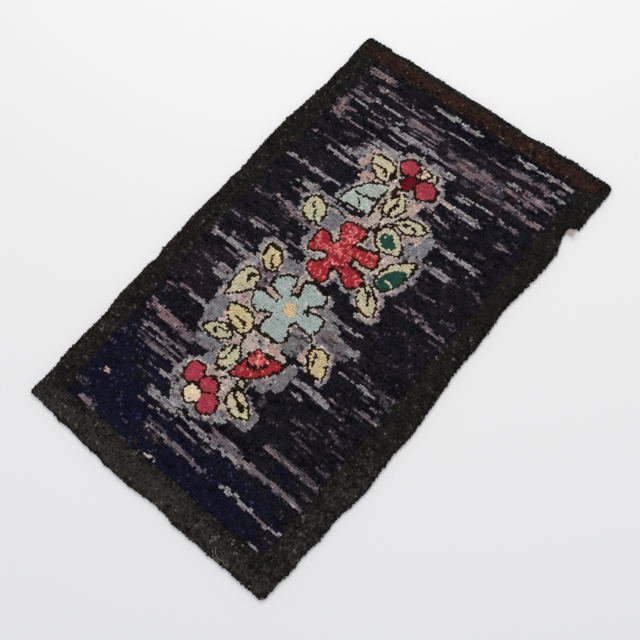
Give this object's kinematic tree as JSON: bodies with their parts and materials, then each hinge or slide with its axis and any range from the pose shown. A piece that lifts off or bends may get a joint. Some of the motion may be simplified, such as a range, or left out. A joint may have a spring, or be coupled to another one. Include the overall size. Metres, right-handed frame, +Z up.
{
  "type": "hooked rug",
  "caption": "Rectangular hooked wool rug lying flat: flower, leaf and berry sprays on a dark streaked ground inside a darker border, on hemmed burlap.",
  "frame": {"origin": "under the middle of the rug, on the surface that it lies on", "axes": "+Y along the rug's length towards the edge with the brown band, +X across it to the right as seen from above, +Z up out of the pile"},
  "size_m": [0.6424, 1.03, 0.01],
  "materials": {
    "burlap": "plain woven jute, dull, with a coarse open weave",
    "wool_pile": "short wool loops, dull and slightly fuzzy, mostly charcoal with coloured motifs"
  },
  "bodies": {
    "root": {"foundation": "burlap", "hooked_pile": "wool_pile"}
  },
  "joints": []
}
